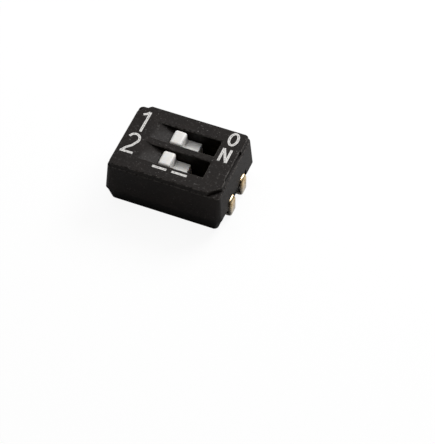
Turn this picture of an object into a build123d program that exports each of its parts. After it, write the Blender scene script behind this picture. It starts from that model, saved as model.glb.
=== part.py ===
"""Two-pole half-pitch surface-mount slide switch with recessed sliders and J-hook terminals.

Millimetres.  +X is the ON direction of the sliders, +Y runs from pole 2 to pole 1, +Z is up.
The origin is the middle of the footprint at the solder plane (undersides of the terminals).
"""
import os

from build123d import *

# ---- driving dimensions -------------------------------------------------------------------
PITCH = 1.27                     # spacing of the two poles
POLES = {1: PITCH / 2, 2: -PITCH / 2}   # pole number -> Y of its centre line
NEAR = 0.01                      # how near an edge or corner lies to where it is looked for

TOP_Z = 2.40                     # top face above the solder plane
LEDGE_Z = 2.18                   # ledge round the raised top tier
PARTING_Z = 0.75                 # cover / base parting line
BASE_Z = 0.10                    # underside of the base

TIER_X, TIER_Y = 5.08, 3.68      # raised top tier
LEDGE_X, LEDGE_Y = 5.22, 3.76    # cover just below the tier
PART_X, PART_Y = 5.43, 3.90      # cover at the parting line
FOOT_X, FOOT_Y = 5.00, 3.66      # base at its underside
SEAM = 0.02                      # base set in from the cover at the parting line
CORNER_R = 0.20                  # upright corners
CORNER_CUT = 0.50                # diagonal cuts on two corners of the tier
TIER_CHAMFER = 0.04
LEDGE_CHAMFER = 0.04

# gate recess in the +X edge of the tier
GATE_DEPTH = 0.07
GATE_Y0, GATE_Y1 = -0.90, 0.85

# openings in the cover
SLOT_W = 0.92
SLOT_X0, SLOT_X1 = -1.53, 1.55   # ends of the recess at the top face
OPEN_X0 = -0.64                  # where the left ramp ends and the through opening starts
RAMP_Z = 2.10                    # foot of the left ramp
RAMP_R = 0.08                    # softened corners of the through opening
SLOT_CHAMFER = 0.05

# space under the cover
CEILING_Z = 1.54
CAVITY_X, CAVITY_Y = 4.68, 3.20
END_NOTCH_Y = 2.12               # window in each end wall for the terminals
END_NOTCH_Z = 1.09

# base interior
BLOCK_X, BLOCK_Y = 4.62, 3.14
FLOOR_Z = 1.02
WALL_Z = 1.52
CHANNEL_W = 1.04
CHANNEL_X = 3.50
RIB_X = 2.66                     # outer face of the end rib
RIB_Y = 2.06
RIB_Z = 1.06
POST_X, POST_D, POST_TOP = 2.02, 0.30, 1.80
SOCKET_TOP = 1.84

# sliders, drawn in the OFF position
KNOB_X0, KNOB_X1 = -0.59, -0.02
STEP_X1 = 0.64
KNOB_W, KNOB_Z = 0.82, 2.34
STEP_Z = 1.86
KNOB_R = 0.11
STEP_R = 0.05
FLANGE_X0 = -1.22
FLANGE_W = 1.00
FLANGE_Z0, FLANGE_Z1 = 1.20, 1.50
RAIL_W, RAIL_Z = 0.09, 1.04

# wiper springs under the sliders
WIPER_X = (FLANGE_X0 + STEP_X1) / 2
WIPER_T, WIPER_W = 0.05, 0.46
WIPER_FLAT, WIPER_FOOT, WIPER_TIP = 0.25, 0.55, 0.68   # distances from the middle
WIPER_FOOT_Z, WIPER_TIP_Z = 1.04, 1.08                 # undersides
STAKE_D, STAKE_Z = 0.16, 1.12

# terminals
LEAD_T = 0.15
LEAD_W = 0.40
PAD_W = 0.50
LEFT_PAD_END, RIGHT_PAD_END = 0.40, 0.75
PAD_EDGE_X = 1.80                # pad narrows to the lead here
LEG_X = 2.80                     # outer face of the upright leg
BEND_R = 0.20                    # outer bend radii
FOOT_TIP_X = 2.16
GROOVE_X = 2.62                  # grooves for the legs in the base
GROOVE_W = 0.50
POCKET_X, POCKET_Z = 2.08, 0.24  # pockets for the curled feet


def save(part, label):
    """Name a piece and write it to its own file."""
    part.label = label
    export_step(part, f"parts/{label}.step")


os.makedirs("parts", exist_ok=True)

# ---- cover --------------------------------------------------------------------------------
# funnel edge of one opening, which runs out where the ramp reaches the top face
with BuildPart() as funnel:
    with BuildSketch(Plane.XY.offset(TOP_Z)):
        with Locations(((SLOT_X0 + SLOT_X1) / 2, 0)):
            Rectangle(SLOT_X1 - SLOT_X0 + 2 * SLOT_CHAMFER, SLOT_W + 2 * SLOT_CHAMFER)
    extrude(amount=-SLOT_CHAMFER, taper=45)
    with BuildSketch(Plane.XZ):
        Polygon(
            (SLOT_X0, TOP_Z), (OPEN_X0 + RAMP_R, RAMP_Z), (PART_X / 2, RAMP_Z), (PART_X / 2, TOP_Z),
            align=None)
    extrude(amount=PITCH / 2, both=True, mode=Mode.INTERSECT)

with BuildPart() as cover:
    # outer skirt widens down to the parting line
    skirt = ((PARTING_Z, PART_X, PART_Y), (LEDGE_Z - LEDGE_CHAMFER, LEDGE_X, LEDGE_Y),
             (LEDGE_Z, LEDGE_X - 2 * LEDGE_CHAMFER, LEDGE_Y - 2 * LEDGE_CHAMFER))
    for lower, upper in zip(skirt, skirt[1:]):
        for height, length, width in (lower, upper):
            with BuildSketch(Plane.XY.offset(height)):
                RectangleRounded(length, width, CORNER_R)
        loft(ruled=True)
    # raised tier: two diagonal corners and a shallow gate recess in its +X edge
    with BuildSketch(Plane.XY.offset(LEDGE_Z)) as tier:
        x, y, cut = TIER_X / 2, TIER_Y / 2, CORNER_CUT
        with BuildLine():
            Polyline(
                (-x, -y), (x - cut, -y), (x, -y + cut), (x, GATE_Y0 - GATE_DEPTH),
                (x - GATE_DEPTH, GATE_Y0), (x - GATE_DEPTH, GATE_Y1), (x, GATE_Y1), (x, y),
                (-x + cut, y), (-x, y - cut), close=True)
        make_face()
        square_corners = (tier.vertices().sort_by(lambda v: v.X + v.Y)[-1:]
                          + tier.vertices().sort_by(lambda v: v.X + v.Y)[:1])
        fillet(square_corners, CORNER_R)
    extrude(amount=TOP_Z - LEDGE_Z)
    chamfer(cover.faces().sort_by(Axis.Z)[-1].edges(), TIER_CHAMFER)
    # hollow underside
    with BuildSketch(Plane.XY.offset(PARTING_Z)):
        Rectangle(CAVITY_X, CAVITY_Y)
    extrude(amount=CEILING_Z - PARTING_Z, mode=Mode.SUBTRACT)
    # windows in the end walls for the base ribs and terminals
    with BuildSketch(Plane.XY.offset(PARTING_Z)):
        Rectangle(PART_X * 2, END_NOTCH_Y)
    extrude(amount=END_NOTCH_Z - PARTING_Z, mode=Mode.SUBTRACT)
    # slider openings, with a funnel edge and a ramp down to the knob
    for pole_y in POLES.values():
        with BuildSketch(Plane.XY.offset(CEILING_Z)):
            with Locations(((OPEN_X0 + SLOT_X1) / 2, pole_y)):
                RectangleRounded(SLOT_X1 - OPEN_X0, SLOT_W, RAMP_R)
        extrude(amount=TOP_Z - CEILING_Z, mode=Mode.SUBTRACT)
        with BuildSketch(Plane.XZ.offset(-pole_y)):
            Polygon((SLOT_X0, TOP_Z), (OPEN_X0 + RAMP_R, RAMP_Z), (OPEN_X0 + RAMP_R, TOP_Z), align=None)
        extrude(amount=SLOT_W / 2, both=True, mode=Mode.SUBTRACT)
        with Locations((0, pole_y)):
            add(funnel.part, mode=Mode.SUBTRACT)
    # blind sockets over the base posts
    with BuildSketch(Plane.XY.offset(CEILING_Z)):
        with Locations((-POST_X, 0), (POST_X, 0)):
            Circle(POST_D / 2)
    extrude(amount=SOCKET_TOP - CEILING_Z, mode=Mode.SUBTRACT)

# ---- base ---------------------------------------------------------------------------------
with BuildPart() as base:
    # lower body narrows down to the underside
    with BuildSketch(Plane.XY.offset(BASE_Z)):
        RectangleRounded(FOOT_X, FOOT_Y, CORNER_R)
    with BuildSketch(Plane.XY.offset(PARTING_Z)):
        RectangleRounded(PART_X - 2 * SEAM, PART_Y - 2 * SEAM, CORNER_R)
    loft(ruled=True)
    # inner block inside the cover, and the end ribs that fill the cover's windows
    with BuildSketch(Plane.XY.offset(PARTING_Z)):
        Rectangle(BLOCK_X, BLOCK_Y)
    extrude(amount=WALL_Z - PARTING_Z)
    with BuildSketch(Plane.XY.offset(PARTING_Z)):
        Rectangle(2 * RIB_X, RIB_Y)
    extrude(amount=RIB_Z - PARTING_Z)
    # slider channels
    with BuildSketch(Plane.XY.offset(FLOOR_Z)):
        with Locations(*[(0, pole_y) for pole_y in POLES.values()]):
            Rectangle(CHANNEL_X, CHANNEL_W)
    extrude(amount=WALL_Z - FLOOR_Z, mode=Mode.SUBTRACT)
    # posts that locate and hold the cover
    with BuildSketch(Plane.XY.offset(WALL_Z)):
        with Locations((-POST_X, 0), (POST_X, 0)):
            Circle(POST_D / 2)
    extrude(amount=POST_TOP - WALL_Z)
    for side in (-1, 1):
        for pole_y in POLES.values():
            # upright groove behind the leg
            with BuildSketch(Plane.XY.offset(BASE_Z)):
                with Locations((side * (GROOVE_X + PART_X) / 2, pole_y)):
                    Rectangle(PART_X - GROOVE_X, GROOVE_W)
            extrude(amount=RIB_Z - BASE_Z, mode=Mode.SUBTRACT)
            # pocket for the curled foot
            with BuildSketch(Plane.XY.offset(BASE_Z)):
                with Locations((side * (POCKET_X + PART_X) / 2, pole_y)):
                    Rectangle(PART_X - POCKET_X, GROOVE_W)
            extrude(amount=POCKET_Z - BASE_Z, mode=Mode.SUBTRACT)
            # seat of the insert-moulded terminal
            inner = LEFT_PAD_END if side < 0 else RIGHT_PAD_END
            with BuildSketch(Plane.XY.offset(FLOOR_Z - LEAD_T)):
                with Locations(((inner + side * PAD_EDGE_X) / 2, pole_y)):
                    Rectangle(abs(side * PAD_EDGE_X - inner), PAD_W)
                with Locations((side * (PAD_EDGE_X + GROOVE_X) / 2, pole_y)):
                    Rectangle(GROOVE_X - PAD_EDGE_X, LEAD_W)
            extrude(amount=LEAD_T, mode=Mode.SUBTRACT)

# ---- sliders ------------------------------------------------------------------------------
for pole, pole_y in POLES.items():
    with BuildPart() as slider:
        # side profile of the knob and its lower step
        with BuildSketch(Plane.XZ.offset(-pole_y)) as profile:
            with BuildLine():
                Polyline(
                    (KNOB_X0, FLANGE_Z1), (STEP_X1, FLANGE_Z1), (STEP_X1, STEP_Z), (KNOB_X1, STEP_Z),
                    (KNOB_X1, KNOB_Z), (KNOB_X0, KNOB_Z), close=True)
            make_face()
            fillet(profile.vertices().filter_by(lambda v: v.Z > KNOB_Z - NEAR), KNOB_R)
        extrude(amount=KNOB_W / 2, both=True)
        rim = slider.edges().filter_by(
            lambda e: e.center().Z > STEP_Z - NEAR and abs(abs(e.center().Y - pole_y) - KNOB_W / 2) < NEAR)
        fillet(rim, STEP_R)
        # flange under the cover, on two rails
        with BuildSketch(Plane.XY.offset(FLANGE_Z0)):
            with Locations((WIPER_X, pole_y)):
                Rectangle(STEP_X1 - FLANGE_X0, FLANGE_W)
        extrude(amount=FLANGE_Z1 - FLANGE_Z0)
        with BuildSketch(Plane.XY.offset(RAIL_Z)):
            for side in (-1, 1):
                with Locations((WIPER_X, pole_y + side * (FLANGE_W - RAIL_W) / 2)):
                    Rectangle(STEP_X1 - FLANGE_X0, RAIL_W)
        extrude(amount=FLANGE_Z0 - RAIL_Z)
        # stake that holds the wiper
        with BuildSketch(Plane.XY.offset(STAKE_Z)):
            with Locations((WIPER_X, pole_y)):
                Circle(STAKE_D / 2)
        extrude(amount=FLANGE_Z0 - STAKE_Z)
    save(slider.part, f"slider_{pole}")

# ---- wiper springs ------------------------------------------------------------------------
for pole, pole_y in POLES.items():
    with BuildPart() as wiper:
        with BuildSketch(Plane.XZ.offset(-pole_y)):
            flat_z = FLANGE_Z0 - WIPER_T
            under = [(-WIPER_TIP, WIPER_TIP_Z), (-WIPER_FOOT, WIPER_FOOT_Z), (-WIPER_FLAT, flat_z),
                     (WIPER_FLAT, flat_z), (WIPER_FOOT, WIPER_FOOT_Z), (WIPER_TIP, WIPER_TIP_Z)]
            over = [(x, z + WIPER_T) for x, z in reversed(under)]
            with BuildLine():
                Polyline(*[(WIPER_X + x, z) for x, z in under + over], close=True)
            make_face()
        extrude(amount=WIPER_W / 2, both=True)
        with BuildSketch(Plane.XY.offset(STAKE_Z)):
            with Locations((WIPER_X, pole_y)):
                Circle(STAKE_D / 2)
        extrude(amount=FLANGE_Z0 - STAKE_Z, mode=Mode.SUBTRACT)
    save(wiper.part, f"wiper_{pole}")


# ---- terminals ----------------------------------------------------------------------------
for end, side in (("off", -1), ("on", 1)):
    inner = LEFT_PAD_END if side < 0 else RIGHT_PAD_END
    start, out, leg = side * PAD_EDGE_X, side * LEG_X, side * (LEG_X - LEAD_T)
    bend, tip = side * (LEG_X - BEND_R), side * FOOT_TIP_X
    under = FLOOR_Z - LEAD_T
    inner_r = BEND_R - LEAD_T
    for pole, pole_y in POLES.items():
        with BuildPart() as terminal:
            # side view of the J: out of the base, down the leg and back under on the foot
            with BuildSketch(Plane.XZ.offset(-pole_y)):
                with BuildLine():
                    Polyline((start, under), (start, FLOOR_Z), (bend, FLOOR_Z))
                    RadiusArc((bend, FLOOR_Z), (out, FLOOR_Z - BEND_R), side * BEND_R)
                    Line((out, FLOOR_Z - BEND_R), (out, BEND_R))
                    RadiusArc((out, BEND_R), (bend, 0), side * BEND_R)
                    Polyline((bend, 0), (tip + side * LEAD_T, 0), (tip, LEAD_T / 3), (tip, LEAD_T),
                             (bend, LEAD_T))
                    RadiusArc((bend, LEAD_T), (leg, BEND_R), -side * inner_r)
                    Line((leg, BEND_R), (leg, FLOOR_Z - BEND_R))
                    RadiusArc((leg, FLOOR_Z - BEND_R), (bend, under), -side * inner_r)
                    Line((bend, under), (start, under))
                make_face()
            extrude(amount=LEAD_W / 2, both=True)
            # contact pad on the channel floor
            with BuildSketch(Plane.XY.offset(under)):
                with Locations(((inner + start) / 2, pole_y)):
                    Rectangle(abs(start - inner), PAD_W)
            extrude(amount=LEAD_T)
        save(terminal.part, f"terminal_{pole}_{end}")

save(cover.part, "cover")
save(base.part, "base")
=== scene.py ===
"""Looks for a two-pole half-pitch slide switch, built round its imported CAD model."""
import math

import bmesh
import bpy
from bpy.props import FloatProperty, FloatVectorProperty, IntProperty, PointerProperty
from bpy.types import Operator, Panel, PropertyGroup
from mathutils import Matrix, Vector, noise


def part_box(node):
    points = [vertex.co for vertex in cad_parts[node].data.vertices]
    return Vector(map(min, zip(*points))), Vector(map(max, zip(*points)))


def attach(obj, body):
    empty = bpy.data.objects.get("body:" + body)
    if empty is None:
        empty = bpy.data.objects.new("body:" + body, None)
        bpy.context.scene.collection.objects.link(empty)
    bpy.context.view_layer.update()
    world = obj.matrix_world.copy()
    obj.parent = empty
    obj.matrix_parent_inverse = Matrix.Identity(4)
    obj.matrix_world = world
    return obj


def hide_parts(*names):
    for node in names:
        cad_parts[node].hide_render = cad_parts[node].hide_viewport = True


bl_info = {
    "name": "Half-pitch slide switch",
    "version": (1, 0, 0),
    "blender": (4, 5, 0),
    "location": "3D View > Sidebar > Slide Switch",
    "description": "Finishes, printed legends and studio for a two-pole slide switch",
    "category": "Object",
}

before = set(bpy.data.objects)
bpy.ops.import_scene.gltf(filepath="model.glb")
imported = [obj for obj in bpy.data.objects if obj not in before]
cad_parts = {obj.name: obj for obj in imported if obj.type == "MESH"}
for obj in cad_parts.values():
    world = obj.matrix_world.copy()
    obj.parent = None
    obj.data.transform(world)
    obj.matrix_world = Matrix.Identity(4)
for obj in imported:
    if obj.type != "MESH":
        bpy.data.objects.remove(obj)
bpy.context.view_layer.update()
MM = 0.001
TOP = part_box("cover")[1].z                    # top face of the cover
POLES = (1, 2)
ENDS = {"off": -1, "on": 1}                   # end of the case -> its side along X
PREFIX = "slide_switch_"                      # start of the names of the scene's settings

TOUCHING = 1e-9                               # points closer than this are one point
WELD = 1e-8                                   # merging distance for a CAD node's loose triangles
NEAR = 1e-7                                   # how near a level an edge or face counts as on it
ALIGNED = 1e-3                                # how far a level face's normal may be from upright
SMOOTH_ANGLE = math.radians(40)               # edges gentler than this are shaded smoothly
EDGE_ANGLE = math.radians(38)                 # edges sharper than this are rounded
FLAT_ANGLE = math.radians(1)                  # faces that turn less than this are one flat face
QUARTER_TURN = math.radians(90)
EDGE_SEGMENTS = 3                             # segments round a softened edge
ROUND_SEGMENTS = 6                            # segments round an edge of a slider


def length(name, text, default, **limits):
    """A length setting, given in millimetres and kept in metres."""
    return FloatProperty(
        name=name, description=text, default=default * MM, unit="LENGTH", precision=6, **limits)


def colour(name, text, *default):
    """A colour setting."""
    return FloatVectorProperty(
        name=name, description=text, default=default, subtype="COLOR", size=3, min=0, max=1)


# ---- settings ------------------------------------------------------------------------------
class FinishSettings(PropertyGroup):
    cover_colour: colour("Cover colour", "Matt black of the cover", 0.0096, 0.0060, 0.0046)
    # the base's black is deeper than the cover's partly as painted shade of the dark band along the bottom
    base_shaded_colour: colour("Base colour", "Deeper black of the base", 0.0034, 0.0027, 0.0023)
    # the rubbed edges' paler black is partly a painted highlight on the sloping faces
    rubbed_highlight_colour: colour("Rubbed edges", "Paler black of rubbed moulding edges", 0.100, 0.092, 0.086)
    slider_colour: colour("Slider colour", "White of the sliders", 0.84, 0.825, 0.80)
    gold_colour: colour("Plating colour", "Gold plating of the terminals and wipers", 0.90, 0.66, 0.36)
    silver_colour: colour("Tinned colour", "Solderable plating at the terminal feet", 0.72, 0.69, 0.64)
    ink_colour: colour("Ink colour", "White printed legends", 0.88, 0.86, 0.835)
    edge_width: length("Edge softening", "Width of the softened moulding edges", 0.022, min=0)


class SliderSettings(PropertyGroup):
    knob_start: length("Knob start", "Near face of the knob along the travel", -0.59)
    knob_end: length("Knob end", "Far face of the knob along the travel", -0.02)
    knob_width: length("Knob width", "Width of the knob across the travel", 0.82)
    step_height: length("Step height", "Top of the low step beside the knob", 1.86)
    flange_top: length("Flange top", "Top of the hidden flange", 1.50)
    flange_under: length("Flange underside", "Underside of the hidden flange", 1.20)
    rail_width: length("Rail width", "Width of the two rails", 0.09)
    knob_round: length("Knob rounding", "Rounding of the knob's edges", 0.12)
    step_round: length("Step rounding", "Rounding of the step's edges", 0.035)


class TerminalSettings(PropertyGroup):
    thickness: length("Strip thickness", "Thickness of the strip", 0.15)
    width: length("Strip width", "Width of the strip", 0.40)
    pad_width: length("Pad width", "Width of the contact pad inside", 0.50)
    pad_edge: length("Pad edge", "Where the pad narrows to the strip", 1.80)
    bend: length("Bend radius", "Outer radius of both bends", 0.20)
    foot_tip: length("Foot tip", "Distance of the foot's tip from the middle", 2.16)
    burr: length("Edge rounding", "Rounding of the stamped edges", 0.018)
    steps: IntProperty(name="Bend steps", description="Steps round each bend", default=10, min=3, max=32)


class LegendSettings(PropertyGroup):
    stroke: length("Stroke width", "Width of the printed strokes", 0.110, min=0)
    thickness: length("Ink thickness", "Height of the ink above the cover", 0.002, min=0)
    steps: IntProperty(name="Curve steps", description="Steps round a full turn", default=40, min=8, max=96)


class StudioSettings(PropertyGroup):
    azimuth: FloatProperty(
        name="Azimuth", description="Camera direction round the switch", subtype="ANGLE",
        default=math.radians(22.12))
    elevation: FloatProperty(
        name="Elevation", description="Camera height angle", subtype="ANGLE", default=math.radians(50.98))
    distance: length("Distance", "Camera distance from the aim point", 94.62)
    lens: FloatProperty(name="Lens", description="Focal length", default=178.4, unit="CAMERA")
    aim: FloatVectorProperty(
        name="Aim point", description="Point the camera looks at", subtype="XYZ", size=3, unit="LENGTH",
        default=(2.451 * MM, -1.647 * MM, 0.410 * MM), precision=6)
    floor_size: FloatProperty(
        name="Floor size", description="Side of the square floor", unit="LENGTH", default=0.6)
    key_power: FloatProperty(
        name="Key power", description="Power of the soft key light", unit="POWER",
        default=0.058, precision=4)
    fill_power: FloatProperty(
        name="Fill power", description="Power of the overhead fill", unit="POWER",
        default=0.030, precision=4)
    surroundings: FloatProperty(
        name="Surroundings", description="Brightness of the room", default=0.13, min=0, max=1)


SETTINGS = {"finish": FinishSettings, "sliders": SliderSettings, "terminals": TerminalSettings,
            "legends": LegendSettings, "studio": StudioSettings}


def settings(group):
    """The current values of one group of settings."""
    return getattr(bpy.context.scene, PREFIX + group)


# ---- material helpers ----------------------------------------------------------------------
class Finish:
    """A node material with short calls for the nodes it needs."""

    def __init__(self, name):
        self.material = bpy.data.materials.new(name)
        self.material.use_nodes = True
        self.tree = self.material.node_tree
        self.shader = self.tree.nodes["Principled BSDF"]
        self.place = self.node("ShaderNodeTexCoord").outputs["Object"]

    def node(self, kind, **values):
        """Adds a node, with its own values and the defaults of its inputs."""
        made = self.tree.nodes.new(kind)
        for key, value in values.items():
            if hasattr(made, key):
                setattr(made, key, value)
            else:
                made.inputs[key.replace("_", " ")].default_value = value
        return made

    def link(self, source, target):
        """Links an output to an input."""
        self.tree.links.new(source, target)

    def feed(self, socket, source):
        """Links a source to one of the shader's sockets."""
        self.link(source, self.shader.inputs[socket])

    def noise(self, grain, detail=3.0, rough=0.55, stretch=(1, 1, 1)):
        """Noise whose lumps are about `grain` metres across."""
        place = self.node("ShaderNodeMapping")
        place.inputs["Scale"].default_value = stretch
        self.link(self.place, place.inputs["Vector"])
        made = self.node("ShaderNodeTexNoise", Scale=1.0 / grain, Detail=detail, Roughness=rough)
        self.link(place.outputs["Vector"], made.inputs["Vector"])
        return made.outputs["Fac"]

    def ramp(self, source, *stops):
        """Colour ramp with (position, colour) stops."""
        made = self.node("ShaderNodeValToRGB")
        elements = made.color_ramp.elements
        while len(elements) < len(stops):
            elements.new(0.5)
        for element, (position, tone) in zip(elements, stops):
            element.position = position
            element.color = (*tone, 1.0)
        self.link(source, made.inputs["Fac"])
        return made.outputs["Color"]

    def spread(self, source, low, high, start=0.0, end=1.0):
        """Maps a value between start and end to low and high."""
        made = self.node("ShaderNodeMapRange", From_Min=start, From_Max=end, To_Min=low, To_Max=high)
        self.link(source, made.inputs["Value"])
        return made.outputs["Result"]

    def mix(self, factor, under, over, blend="MIX"):
        """Mixes two colours by a factor, which is a value or a source."""
        made = self.node("ShaderNodeMix", data_type="RGBA", blend_type=blend)
        # a colour mix has its two colours at inputs 6 and 7 and its result at output 2
        sockets = (made.inputs["Factor"], made.inputs[6], made.inputs[7])
        for socket, source in zip(sockets, (factor, under, over)):
            if hasattr(source, "is_output"):
                self.link(source, socket)
            elif isinstance(source, tuple):
                socket.default_value = (*source, 1.0)
            else:
                socket.default_value = source
        return made.outputs[2]

    def bump(self, source, height, strength=1.0, under=None):
        """Surface relief of `height` metres from a 0 to 1 value."""
        made = self.node("ShaderNodeBump", Strength=strength, Distance=height)
        self.link(source, made.inputs["Height"])
        if under is not None:
            self.link(under, made.inputs["Normal"])
        return made.outputs["Normal"]


BLACK, WHITE = (0, 0, 0), (1, 1, 1)


def shade(tone, factor):
    """A colour made lighter or darker."""
    return tuple(min(1.0, channel * factor) for channel in tone)


# pale flecks from fine to coarse: size in mm, roughness, noise level at start and end, strength
FLECKS = (
    (0.030, 0.50, 0.60, 0.74, 0.60),
    (0.070, 0.35, 0.66, 0.74, 1.20),
    (0.160, 0.75, 0.57, 0.70, 0.60),
)


def moulded_black(name, tone, specular, dust, rubbed_highlight):
    """Matt black moulding: uneven tone, fine grain, pale specks of filler and dust, rubbed edges made paler
    partly as a painted highlight.
    """
    finish = Finish(name)
    patches = finish.noise(0.8 * MM, 5.0, 0.6)
    grain = finish.noise(0.055 * MM, 4.0, 0.7)
    body = finish.ramp(patches, (0.28, shade(tone, 0.65)), (0.52, tone), (0.75, shade(tone, 1.5)))
    mottle = finish.ramp(grain, (0.35, shade(WHITE, 0.55)), (0.72, WHITE))
    surface = finish.mix(0.75, body, mottle, "MULTIPLY")
    facing = finish.node("ShaderNodeSeparateXYZ")
    finish.link(finish.node("ShaderNodeNewGeometry").outputs["Normal"], facing.inputs["Vector"])
    # filler specks, settled dust and faint scuffs, thinner on upright faces
    flecks = BLACK
    for size, rough, start, end, strength in FLECKS:
        marks = finish.noise(size * MM, 5.0, rough)
        pale = finish.ramp(marks, (start, BLACK), (end, shade(dust, strength)))
        flecks = finish.mix(1.0, flecks, pale, "ADD")
    thinning = finish.spread(facing.outputs["Z"], 0.35, 1.0, 0.1, 0.9)
    surface = finish.mix(thinning, surface, flecks, "ADD")
    # sloping faces are the narrow edges, rubbed paler in patches; the paler colour is also a painted
    # highlight for the light these edges catch
    edges = finish.ramp(facing.outputs["Z"], (0.28, BLACK), (0.45, WHITE), (0.80, WHITE), (0.90, BLACK))
    rubs = finish.ramp(finish.noise(0.11 * MM, 5.0, 0.65), (0.38, shade(WHITE, 0.08)), (0.64, WHITE))
    surface = finish.mix(finish.mix(1.0, edges, rubs, "MULTIPLY"), surface, rubbed_highlight)
    finish.feed("Base Color", surface)
    finish.feed("Roughness", finish.spread(grain, 0.40, 0.62, 0.3, 0.7))
    finish.shader.inputs["Specular IOR Level"].default_value = specular
    waves = finish.bump(patches, 0.012 * MM, 0.5)
    finish.feed("Normal", finish.bump(grain, 0.004 * MM, 0.6, under=waves))
    return finish.material


def cover_finish():
    """The cover's matt black, with pale dust and rubbed edges that carry a painted highlight."""
    chosen = settings("finish")
    tone, rubbed_highlight = tuple(chosen.cover_colour), tuple(chosen.rubbed_highlight_colour)
    return moulded_black("cover_plastic", tone, 0.15, (0.085, 0.082, 0.080), rubbed_highlight)


def base_finish():
    """The base's deeper black, partly painted shade of the dark band along the bottom, with hardly any
    dust.
    """
    tone = tuple(settings("finish").base_shaded_colour)
    # the base's sloping faces get the same painted highlight, at three times its tone
    return moulded_black("base_plastic", tone, 0.12, (0.016, 0.015, 0.014), shade(tone, 3.0))


def slider_finish():
    """White moulding with a faint warm cloudiness and soft sheen."""
    tone = tuple(settings("finish").slider_colour)
    finish = Finish("slider_plastic")
    cloud = finish.noise(0.30 * MM, 3.0)
    smudge = finish.noise(0.09 * MM, 5.0, 0.7)
    clean = finish.ramp(cloud, (0.3, shade(tone, 0.94)), (0.7, shade(tone, 1.03)))
    smudged = finish.ramp(smudge, (0.28, (0.74, 0.72, 0.69)), (0.42, WHITE))
    finish.feed("Base Color", finish.mix(0.6, clean, smudged, "MULTIPLY"))
    finish.feed("Roughness", finish.spread(cloud, 0.34, 0.50))
    finish.shader.inputs["Subsurface Weight"].default_value = 0.12
    finish.shader.inputs["Subsurface Radius"].default_value = (0.10, 0.08, 0.06)
    finish.shader.inputs["Subsurface Scale"].default_value = MM
    finish.feed("Normal", finish.bump(smudge, 0.003 * MM, 0.5))
    return finish.material


TIN_FULL, TIN_END = 0.45 * MM, 0.95 * MM      # heights where the tinning starts to fade and ends
TIN_WAVER = 0.45 * MM                         # how far its border wanders


def metal_finish(name, tinned):
    """Thin plating with an uneven tone and rolled grain; the terminals turn silvery towards their feet."""
    chosen = settings("finish")
    tone = tuple(chosen.gold_colour)
    finish = Finish(name)
    patch = finish.noise(0.14 * MM, 5.0, 0.6)
    rolled = finish.noise(0.05 * MM, 3.0, 0.6, stretch=(0.25, 1.6, 0.25))
    plated = finish.ramp(
        patch, (0.30, shade(tone, 0.38)), (0.50, shade(tone, 0.85)), (0.72, (0.97, 0.84, 0.60)))
    if tinned:
        height = finish.node("ShaderNodeSeparateXYZ")
        finish.link(finish.place, height.inputs["Vector"])
        level = finish.node("ShaderNodeMath", operation="MULTIPLY_ADD")
        finish.link(patch, level.inputs[0])
        level.inputs[1].default_value = TIN_WAVER
        finish.link(height.outputs["Z"], level.inputs[2])
        coat = finish.spread(level.outputs[0], 0.85, 0.0, TIN_FULL, TIN_END)
        plated = finish.mix(coat, plated, tuple(chosen.silver_colour))
    finish.feed("Base Color", plated)
    finish.shader.inputs["Metallic"].default_value = 1.0
    finish.feed("Roughness", finish.spread(rolled, 0.18, 0.40))
    finish.feed("Normal", finish.bump(rolled, 0.003 * MM, 0.5))
    return finish.material


def ink_finish():
    """White ink, squeezed towards the rims of each stroke, with the black showing through in specks."""
    tone = tuple(settings("finish").ink_colour)
    finish = Finish("legend_ink")
    wear = finish.noise(0.075 * MM, 5.0, 0.72)
    across = finish.node("ShaderNodeAttribute", attribute_name="across")
    centre = finish.node("ShaderNodeMath", operation="ABSOLUTE")
    finish.link(across.outputs["Fac"], centre.inputs[0])
    thin = finish.spread(centre.outputs[0], -0.11, 0.05, 0.10, 0.60)
    amount = finish.node("ShaderNodeMath", operation="ADD")
    finish.link(wear, amount.inputs[0])
    finish.link(thin, amount.inputs[1])
    ink = finish.ramp(
        amount.outputs[0], (0.31, shade(tone, 0.10)), (0.40, shade(tone, 0.55)),
        (0.50, shade(tone, 0.9)), (0.62, tone))
    finish.feed("Base Color", ink)
    finish.feed("Roughness", finish.spread(wear, 0.50, 0.75))
    finish.feed("Normal", finish.bump(wear, 0.002 * MM, 0.6))
    return finish.material


# ---- mesh helpers --------------------------------------------------------------------------
def piece(name, bm, material, body):
    """Turns a bmesh into a finished piece riding on a body."""
    bmesh.ops.remove_doubles(bm, verts=bm.verts, dist=TOUCHING)
    bmesh.ops.recalc_face_normals(bm, faces=bm.faces)
    mesh = bpy.data.meshes.new(name)
    bm.to_mesh(mesh)
    bm.free()
    made = bpy.data.objects.new(name, mesh)
    bpy.context.scene.collection.objects.link(made)
    mesh.materials.append(material)
    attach(made, body)
    return made


def smooth_by_angle():
    """A geometry node group that shades smoothly across every gentle edge."""
    name = "smooth_by_angle"
    if name in bpy.data.node_groups:
        return bpy.data.node_groups[name]
    group = bpy.data.node_groups.new(name, "GeometryNodeTree")
    for direction in ("INPUT", "OUTPUT"):
        group.interface.new_socket("Geometry", in_out=direction, socket_type="NodeSocketGeometry")
    start, end = group.nodes.new("NodeGroupInput"), group.nodes.new("NodeGroupOutput")
    faces = group.nodes.new("GeometryNodeSetShadeSmooth")
    faces.domain = "FACE"
    edges = group.nodes.new("GeometryNodeSetShadeSmooth")
    edges.domain = "EDGE"
    angle = group.nodes.new("GeometryNodeInputMeshEdgeAngle")
    gentle = group.nodes.new("FunctionNodeCompare")
    gentle.data_type, gentle.operation = "FLOAT", "LESS_THAN"
    gentle.inputs[1].default_value = SMOOTH_ANGLE
    group.links.new(start.outputs[0], faces.inputs["Geometry"])
    group.links.new(faces.outputs[0], edges.inputs["Geometry"])
    group.links.new(angle.outputs["Unsigned Angle"], gentle.inputs[0])
    group.links.new(gentle.outputs[0], edges.inputs["Shade Smooth"])
    group.links.new(edges.outputs[0], end.inputs[0])
    return group


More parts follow.
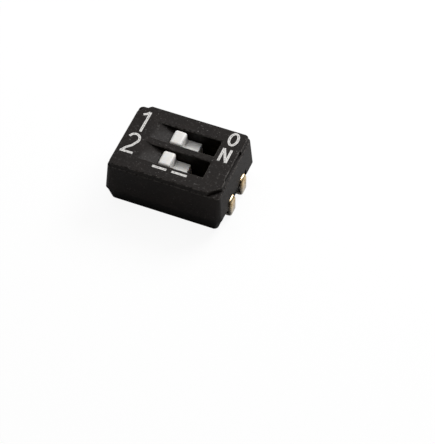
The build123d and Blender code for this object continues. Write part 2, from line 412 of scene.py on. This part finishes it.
def soften(target, width, merge=True):
    """Rounds the hard edges of a piece with modifiers and shades it smoothly."""
    if merge:
        target.modifiers.new("weld", "WELD").merge_threshold = WELD
        flat = target.modifiers.new("flat", "DECIMATE")
        flat.decimate_type = "DISSOLVE"
        flat.angle_limit = FLAT_ANGLE
    if width > 0:
        bevel = target.modifiers.new("edges", "BEVEL")
        bevel.width = width
        bevel.segments = EDGE_SEGMENTS
        bevel.limit_method = "ANGLE"
        bevel.angle_limit = EDGE_ANGLE
    smooth = target.modifiers.new("smooth", "NODES")
    smooth.node_group = smooth_by_angle()
    weighted = target.modifiers.new("weighted", "WEIGHTED_NORMAL")
    weighted.keep_sharp = True
    return target


def dress(node, material):
    """Gives a CAD node its finish in every material slot."""
    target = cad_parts[node]
    for entry in target.material_slots:
        entry.material = material
    return target


def faces_at(bm, height, inside):
    """Level faces at a height whose middle lies inside a region."""
    found = []
    for face in bm.faces:
        centre = face.calc_center_median()
        level = abs(abs(face.normal.z) - 1) < ALIGNED
        if level and abs(centre.z - height) < NEAR and inside(centre):
            found.append(face)
    return found


def raise_faces(bm, faces, offset):
    """Extrudes faces and moves them by an offset."""
    grown = bmesh.ops.extrude_face_region(bm, geom=faces)
    verts = [item for item in grown["geom"] if isinstance(item, bmesh.types.BMVert)]
    bmesh.ops.delete(bm, geom=faces, context="FACES")
    bmesh.ops.translate(bm, verts=verts, vec=offset)
    bm.normal_update()
    return verts


def cut(bm, point, normal):
    """Cuts every face with a plane."""
    bmesh.ops.bisect_plane(
        bm, geom=bm.verts[:] + bm.edges[:] + bm.faces[:], dist=TOUCHING, plane_co=point, plane_no=normal)
    bm.normal_update()


# ---- case ----------------------------------------------------------------------------------
class SWITCH_OT_case(Operator):
    """Give the cover and the base their black mouldings"""
    bl_idname = "slide_switch.case"
    bl_label = "Case"

    def execute(self, context):
        width = settings("finish").edge_width
        soften(dress("cover", cover_finish()), width)
        soften(dress("base", base_finish()), width)
        return {"FINISHED"}


# ---- sliders -------------------------------------------------------------------------------
class SWITCH_OT_sliders(Operator):
    """Mould the two white sliders, each with a rounded knob beside a low step"""
    bl_idname = "slide_switch.sliders"
    bl_label = "Sliders"

    def execute(self, context):
        material = slider_finish()
        for pole in POLES:
            node = f"slider_{pole}"
            made = piece(node + "_moulding", self.moulding(node), material, f"pole_{pole}")
            soften(made, 0, merge=False)
            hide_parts(node)
        return {"FINISHED"}

    def moulding(self, node):
        """Flange with two rails below and the knob and step above."""
        chosen = settings("sliders")
        low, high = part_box(node)
        middle = (low.y + high.y) / 2
        half = chosen.knob_width / 2
        bm = bmesh.new()
        size = Vector((high.x - low.x, high.y - low.y, chosen.flange_top - chosen.flange_under))
        centre = Vector(((low.x + high.x) / 2, middle, (chosen.flange_top + chosen.flange_under) / 2))
        bmesh.ops.create_cube(bm, size=1.0, matrix=Matrix.Translation(centre) @ Matrix.Diagonal((*size, 1)))
        for x in (chosen.knob_start, chosen.knob_end):
            cut(bm, (x, 0, 0), (1, 0, 0))
        inner = (high.y - low.y) / 2 - chosen.rail_width
        for y in (-inner, -half, half, inner):
            cut(bm, (0, middle + y, 0), (0, 1, 0))
        above = faces_at(
            bm, chosen.flange_top, lambda c: abs(c.y - middle) < half and c.x > chosen.knob_start)
        raise_faces(bm, above, (0, 0, chosen.step_height - chosen.flange_top))
        knob = faces_at(bm, chosen.step_height, lambda c: c.x < chosen.knob_end)
        raise_faces(bm, knob, (0, 0, high.z - chosen.step_height))
        rails = faces_at(bm, chosen.flange_under, lambda c: abs(c.y - middle) > inner)
        raise_faces(bm, rails, (0, 0, low.z - chosen.flange_under))
        bmesh.ops.dissolve_limit(bm, angle_limit=FLAT_ANGLE, verts=bm.verts, edges=bm.edges)
        knob_edges = [edge for edge in bm.edges if self.level(edge, high.z) or self.upright(edge, high.z)]
        self.round_edges(bm, knob_edges, chosen.knob_round)
        rim = [edge for edge in bm.edges if self.level(edge, chosen.step_height) and self.is_corner(edge)]
        step_edges = [edge for edge in rim if sum(v.co.x for v in edge.verts) / 2 > chosen.knob_end]
        self.round_edges(bm, step_edges, chosen.step_round)
        return bm

    @staticmethod
    def level(edge, height):
        """Whether an edge lies at a height."""
        return all(abs(vert.co.z - height) < NEAR for vert in edge.verts)

    @staticmethod
    def upright(edge, height):
        """Whether an edge runs straight down from a height."""
        ends = sorted(edge.verts, key=lambda vert: vert.co.z)
        return abs(ends[1].co.z - height) < NEAR and (ends[1].co - ends[0].co).xy.length < NEAR

    @staticmethod
    def is_corner(edge):
        """Whether an edge is an outer corner, turning by more than a radian."""
        return edge.is_convex and edge.calc_face_angle(0) > 1

    @staticmethod
    def round_edges(bm, edges, radius):
        """Rounds edges of the moulding."""
        bmesh.ops.bevel(bm, geom=edges, offset=radius, offset_type="OFFSET", segments=ROUND_SEGMENTS,
                        profile=0.5, affect="EDGES", material=-1, clamp_overlap=True)


# ---- terminals -----------------------------------------------------------------------------
class Strip:
    """A flat strip grown from its end face by straight runs and quarter-turn bends."""

    def __init__(self, origin, thickness, width):
        self.bm = bmesh.new()
        self.middle = origin.y
        place = Matrix.Translation(origin) @ Matrix.Diagonal((1, width, thickness, 1))
        upright = Matrix.Rotation(QUARTER_TURN, 4, "Y")
        bmesh.ops.create_grid(self.bm, x_segments=1, y_segments=1, size=0.5, matrix=place @ upright)
        self.tip = self.bm.faces[:][0]

    def run(self, x=0.0, z=0.0, squeeze=1.0):
        """Extrudes the tip straight on, or narrows it on the spot."""
        start, first = self.tip, len(self.bm.faces) == 1
        grown = bmesh.ops.extrude_face_region(self.bm, geom=[start])["geom"]
        self.tip = next(item for item in grown if isinstance(item, bmesh.types.BMFace))
        if start.is_valid and not first:
            bmesh.ops.delete(self.bm, geom=[start], context="FACES_ONLY")
        bmesh.ops.translate(self.bm, verts=self.tip.verts, vec=(x, 0, z))
        for vert in self.tip.verts:
            vert.co.y = self.middle + (vert.co.y - self.middle) * squeeze

    def turn(self, x, z, side, steps):
        """Bends the tip by a quarter turn about a cross axis."""
        start = self.tip
        spun = bmesh.ops.spin(self.bm, geom=[start], cent=(x, self.middle, z), axis=(0, side, 0),
                              angle=QUARTER_TURN, steps=steps, use_merge=False, use_duplicate=False)
        self.tip = next(item for item in spun["geom_last"] if isinstance(item, bmesh.types.BMFace))
        inner = [face for face in self.bm.faces if face is not self.tip and self.is_inner(face)]
        bmesh.ops.delete(self.bm, geom=inner, context="FACES_ONLY")

    @staticmethod
    def is_inner(face):
        """Whether a face is a section left inside the strip."""
        return all(len(edge.link_faces) > 2 for edge in face.edges)


WIPER_EDGE = 0.008 * MM                       # edge rounding of the thin wipers
TIP_SLOPE = 1 / 3                             # share of the thickness that the foot's tip is cut back


class SWITCH_OT_contacts(Operator):
    """Bend the plated terminal strips and plate the wiper springs"""
    bl_idname = "slide_switch.contacts"
    bl_label = "Contacts"

    def execute(self, context):
        plated = metal_finish("terminal_plating", tinned=True)
        for pole in POLES:
            for end, side in ENDS.items():
                node = f"terminal_{pole}_{end}"
                made = piece(node + "_strip", self.strip(node, side), plated, "housing")
                soften(made, settings("terminals").burr, merge=False)
                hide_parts(node)
        gold = metal_finish("gold_contact", tinned=False)
        for pole in POLES:
            soften(dress(f"wiper_{pole}", gold), WIPER_EDGE)
        return {"FINISHED"}

    @staticmethod
    def strip(node, side):
        """A strip that runs out of the case, down its end and back under on a short foot."""
        chosen = settings("terminals")
        low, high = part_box(node)
        outer, inner = (high.x, low.x) if side > 0 else (low.x, high.x)
        middle, top = (low.y + high.y) / 2, high.z
        thick, bend = chosen.thickness, chosen.bend
        strip = Strip(Vector((inner, middle, top - thick / 2)), thick, chosen.pad_width)
        strip.run(x=side * chosen.pad_edge - inner)
        strip.run(squeeze=chosen.width / chosen.pad_width)
        strip.run(x=outer - side * (bend + chosen.pad_edge))
        strip.turn(outer - side * bend, top - bend, side, chosen.steps)
        strip.run(z=2 * bend - top)
        strip.turn(outer - side * bend, bend, side, chosen.steps)
        strip.run(x=side * (chosen.foot_tip + thick + bend) - outer)
        strip.run(x=-side * thick)
        # the underside slopes up towards the tip of the foot
        for vert in strip.tip.verts:
            if vert.co.z < thick / 2:
                vert.co.z += thick * TIP_SLOPE
        return strip.bm


# ---- legends -------------------------------------------------------------------------------
WALK_PITCH = 0.03 * MM                        # spacing of the points along a stroke
RAGGED = 0.16                                 # unevenness of a stroke's sides, as a share of its width
RAGGED_SIZE = 0.07 * MM                       # size of that unevenness along the stroke
SHARPEST = 0.6                                # limit of the widening at a sharp corner
OVERPRINT = 0.2                               # how much lower each later stroke of a legend lies


def arc(cx, cy, rx, ry, start, end, steps):
    """Points on an ellipse's arc, in degrees."""
    count = max(2, round(steps * abs(end - start) / 360))
    angles = [math.radians(start + (end - start) * k / count) for k in range(count + 1)]
    return [(cx + rx * math.cos(a), cy + ry * math.sin(a)) for a in angles]


def walk(path, pitch):
    """Points along a path at an even pitch, keeping its corners."""
    points = [Vector((*path[0], 0))]
    for x, y in path[1:]:
        start, end = points[-1], Vector((x, y, 0))
        count = max(1, round((end - start).length / pitch))
        points += [start.lerp(end, k / count) for k in range(1, count + 1)]
    return points


def following(vert, edge):
    """The end of a newly grown edge that a vertex was drawn out to."""
    others = [link.other_vert(vert) for link in vert.link_edges]
    return next(other for other in others if other in edge.verts)


def stroke(path, width, low, high):
    """A printed stroke along a path, swept from its first edge, with slightly ragged sides."""
    bm = bmesh.new()
    across = bm.verts.layers.float.new("across")
    points = walk([(x * MM, y * MM) for x, y in path], WALK_PITCH)
    closed = (points[0] - points[-1]).length < TOUCHING
    runs = [(after - before).normalized() for before, after in zip(points, points[1:])]
    arrivals = [runs[-1] if closed else runs[0]] + runs
    departures = runs + [runs[0] if closed else runs[-1]]
    pair = first = [bm.verts.new(points[0]), bm.verts.new(points[0])]
    edge = bm.edges.new(pair)
    for index, (point, arrive, leave) in enumerate(zip(points, arrivals, departures)):
        if index > 0:
            grown = bmesh.ops.extrude_edge_only(bm, edges=[edge])["geom"]
            edge = next(item for item in grown if isinstance(item, bmesh.types.BMEdge))
            pair = [following(vert, edge) for vert in pair]
        along = (arrive + leave).normalized()
        square = Vector((-along.y, along.x, 0))
        mitre = 1 / max(SHARPEST, along.dot(arrive))
        for vert, side in zip(pair, (1, -1)):
            ragged = 1 + RAGGED * noise.noise((point + square * side * width) / RAGGED_SIZE)
            vert.co = point + square * (side * width / 2 * mitre * ragged)
            vert.co.z = low
            vert[across] = side
    if closed:
        for vert, start in zip(pair, first):
            vert.co = start.co
    bmesh.ops.remove_doubles(bm, verts=bm.verts, dist=NEAR)
    top = bmesh.ops.extrude_face_region(bm, geom=bm.faces[:])["geom"]
    bmesh.ops.translate(
        bm, verts=[item for item in top if isinstance(item, bmesh.types.BMVert)], vec=(0, 0, high - low))
    return bm


class SWITCH_OT_legends(Operator):
    """Print the pole numbers, the ON legend and two plain dashes on the cover"""
    bl_idname = "slide_switch.legends"
    bl_label = "Legends"

    def execute(self, context):
        chosen = settings("legends")
        steps = chosen.steps
        bow = arc(-2.03, -0.19, 0.24, 0.27, 165, -30, steps)
        tail = [(-1.96, -0.58), (-2.15, -0.76), (-2.28, -0.97)]
        # the strokes of each legend, in millimetres on the top face
        glyphs = {
            "legend_1": [[(-2.20, 1.24), (-2.07, 1.31), (-1.96, 1.45)], [(-1.94, 1.46), (-1.94, 0.27)]],
            "legend_2": [bow + tail, [(-2.35, -0.99), (-1.76, -0.98)]],
            "legend_o": [arc(1.99, 1.355, 0.185, 0.335, 0, 360, steps)],
            "legend_n": [
                [(1.80, 0.0), (1.80, 0.76)], [(1.81, 0.76), (2.13, 0.0)], [(2.14, 0.0), (2.14, 0.76)]],
            "legend_dashes": [[(-0.70, -1.32), (-0.04, -1.32)], [(0.20, -1.32), (0.90, -1.32)]],
        }
        material = ink_finish()
        for name, paths in glyphs.items():
            bm = bmesh.new()
            for layer, path in enumerate(paths):
                # crossing strokes differ a little in height, as overprinted ink does
                lift = chosen.thickness * (1 - OVERPRINT * layer)
                part = stroke(path, chosen.stroke, TOP - chosen.thickness, TOP + lift)
                mesh = bpy.data.meshes.new(name + "_stroke")
                part.to_mesh(mesh)
                part.free()
                bm.from_mesh(mesh)
                bpy.data.meshes.remove(mesh)
            piece(name, bm, material, "housing")
        return {"FINISHED"}


# ---- stage ---------------------------------------------------------------------------------
# lamp -> its place, its width and the setting that holds its power
LAMPS = {
    "key_light": ((0.028, 0.060, 0.058), 0.045, "key_power"),
    "fill_light": ((-0.020, 0.030, 0.080), 0.080, "fill_power"),
}
SENSOR_WIDTH = 36.0
FAR_CLIP = 10.0
FLOOR_GLOW = 1.04                             # a little over white, so that noise doesn't grey it
FLOOR_KEEP = 0.88                             # share of the glow; the rest shows the shadow


class SWITCH_OT_stage(Operator):
    """Set up the pale floor, the soft lights and the camera"""
    bl_idname = "slide_switch.stage"
    bl_label = "Stage"

    def execute(self, context):
        scene = context.scene
        chosen = settings("studio")
        bm = bmesh.new()
        bmesh.ops.create_grid(bm, x_segments=1, y_segments=1, size=chosen.floor_size / 2)
        mesh = bpy.data.meshes.new("floor")
        bm.to_mesh(mesh)
        bm.free()
        floor = bpy.data.objects.new("floor", mesh)
        scene.collection.objects.link(floor)
        mesh.materials.append(self.floor_finish())
        self.world(scene, chosen.surroundings)
        for name, (place, size, power) in LAMPS.items():
            self.lamp(name, Vector(place), size, getattr(chosen, power))
        data = bpy.data.cameras.new("camera")
        data.lens, data.sensor_width = chosen.lens, SENSOR_WIDTH
        data.clip_start, data.clip_end = MM, FAR_CLIP
        camera = bpy.data.objects.new("camera", data)
        reach = math.cos(chosen.elevation)
        back = Vector((math.sin(chosen.azimuth) * reach, -math.cos(chosen.azimuth) * reach,
                       math.sin(chosen.elevation)))
        camera.location = Vector(chosen.aim) + back * chosen.distance
        camera.rotation_euler = back.to_track_quat("Z", "Y").to_euler()
        scene.collection.objects.link(camera)
        scene.camera = camera
        scene.view_settings.view_transform = "Standard"
        return {"FINISHED"}

    @staticmethod
    def lamp(name, place, size, power):
        """A round soft light aimed at the switch."""
        data = bpy.data.lights.new(name, "AREA")
        data.shape, data.size, data.energy = "DISK", size, power
        lamp = bpy.data.objects.new(name, data)
        lamp.location = place
        lamp.rotation_euler = place.to_track_quat("Z", "Y").to_euler()
        bpy.context.scene.collection.objects.link(lamp)

    @staticmethod
    def floor_finish():
        """Pale floor: plain white to the camera, with a trace of the switch's soft shadow."""
        finish = Finish("floor")
        finish.shader.inputs["Base Color"].default_value = (0.80, 0.80, 0.80, 1)
        finish.shader.inputs["Roughness"].default_value = 0.9
        finish.shader.inputs["Specular IOR Level"].default_value = 0.0
        glow = finish.node("ShaderNodeEmission", Strength=FLOOR_GLOW)
        ray = finish.node("ShaderNodeLightPath")
        keep = finish.node("ShaderNodeMath", operation="MULTIPLY")
        keep.inputs[1].default_value = FLOOR_KEEP
        finish.link(ray.outputs["Is Camera Ray"], keep.inputs[0])
        mix = finish.node("ShaderNodeMixShader")
        finish.link(keep.outputs[0], mix.inputs[0])
        finish.link(finish.shader.outputs[0], mix.inputs[1])
        finish.link(glow.outputs[0], mix.inputs[2])
        finish.link(mix.outputs[0], finish.tree.nodes["Material Output"].inputs["Surface"])
        return finish.material

    @staticmethod
    def world(scene, level):
        """Dim grey surroundings, white where the camera looks straight at them."""
        world = bpy.data.worlds.new("studio")
        scene.world = world
        world.use_nodes = True
        tree = world.node_tree
        room = tree.nodes["Background"]
        room.inputs["Color"].default_value = (1, 1, 1, 1)
        ray = tree.nodes.new("ShaderNodeLightPath")
        brightness = tree.nodes.new("ShaderNodeMapRange")
        brightness.inputs["To Min"].default_value = level
        brightness.inputs["To Max"].default_value = 1.0
        tree.links.new(ray.outputs["Is Camera Ray"], brightness.inputs["Value"])
        tree.links.new(brightness.outputs["Result"], room.inputs["Strength"])


OPERATORS = (SWITCH_OT_case, SWITCH_OT_sliders, SWITCH_OT_contacts, SWITCH_OT_legends, SWITCH_OT_stage)


class SWITCH_PT_panel(Panel):
    """Lists the switch's settings and the steps that build it"""
    bl_label = "Slide Switch"
    bl_idname = "SWITCH_PT_panel"
    bl_space_type = "VIEW_3D"
    bl_region_type = "UI"
    bl_category = "Slide Switch"

    def draw(self, context):
        for group, kind in SETTINGS.items():
            box = self.layout.box()
            for name in kind.__annotations__:
                box.prop(settings(group), name)
        for operator in OPERATORS:
            self.layout.operator(operator.bl_idname)


CLASSES = (*SETTINGS.values(), *OPERATORS, SWITCH_PT_panel)


def register():
    """Registers the classes and hangs the settings on the scene."""
    for kind in CLASSES:
        bpy.utils.register_class(kind)
    for group, kind in SETTINGS.items():
        setattr(bpy.types.Scene, PREFIX + group, PointerProperty(type=kind))


def unregister():
    """Takes away what register added."""
    for group in SETTINGS:
        delattr(bpy.types.Scene, PREFIX + group)
    for kind in reversed(CLASSES):
        bpy.utils.unregister_class(kind)


def main():
    """Builds the switch and its studio."""
    register()
    for operator in OPERATORS:
        area, name = operator.bl_idname.split(".")
        getattr(getattr(bpy.ops, area), name)()


if __name__ == "__main__":
    main()
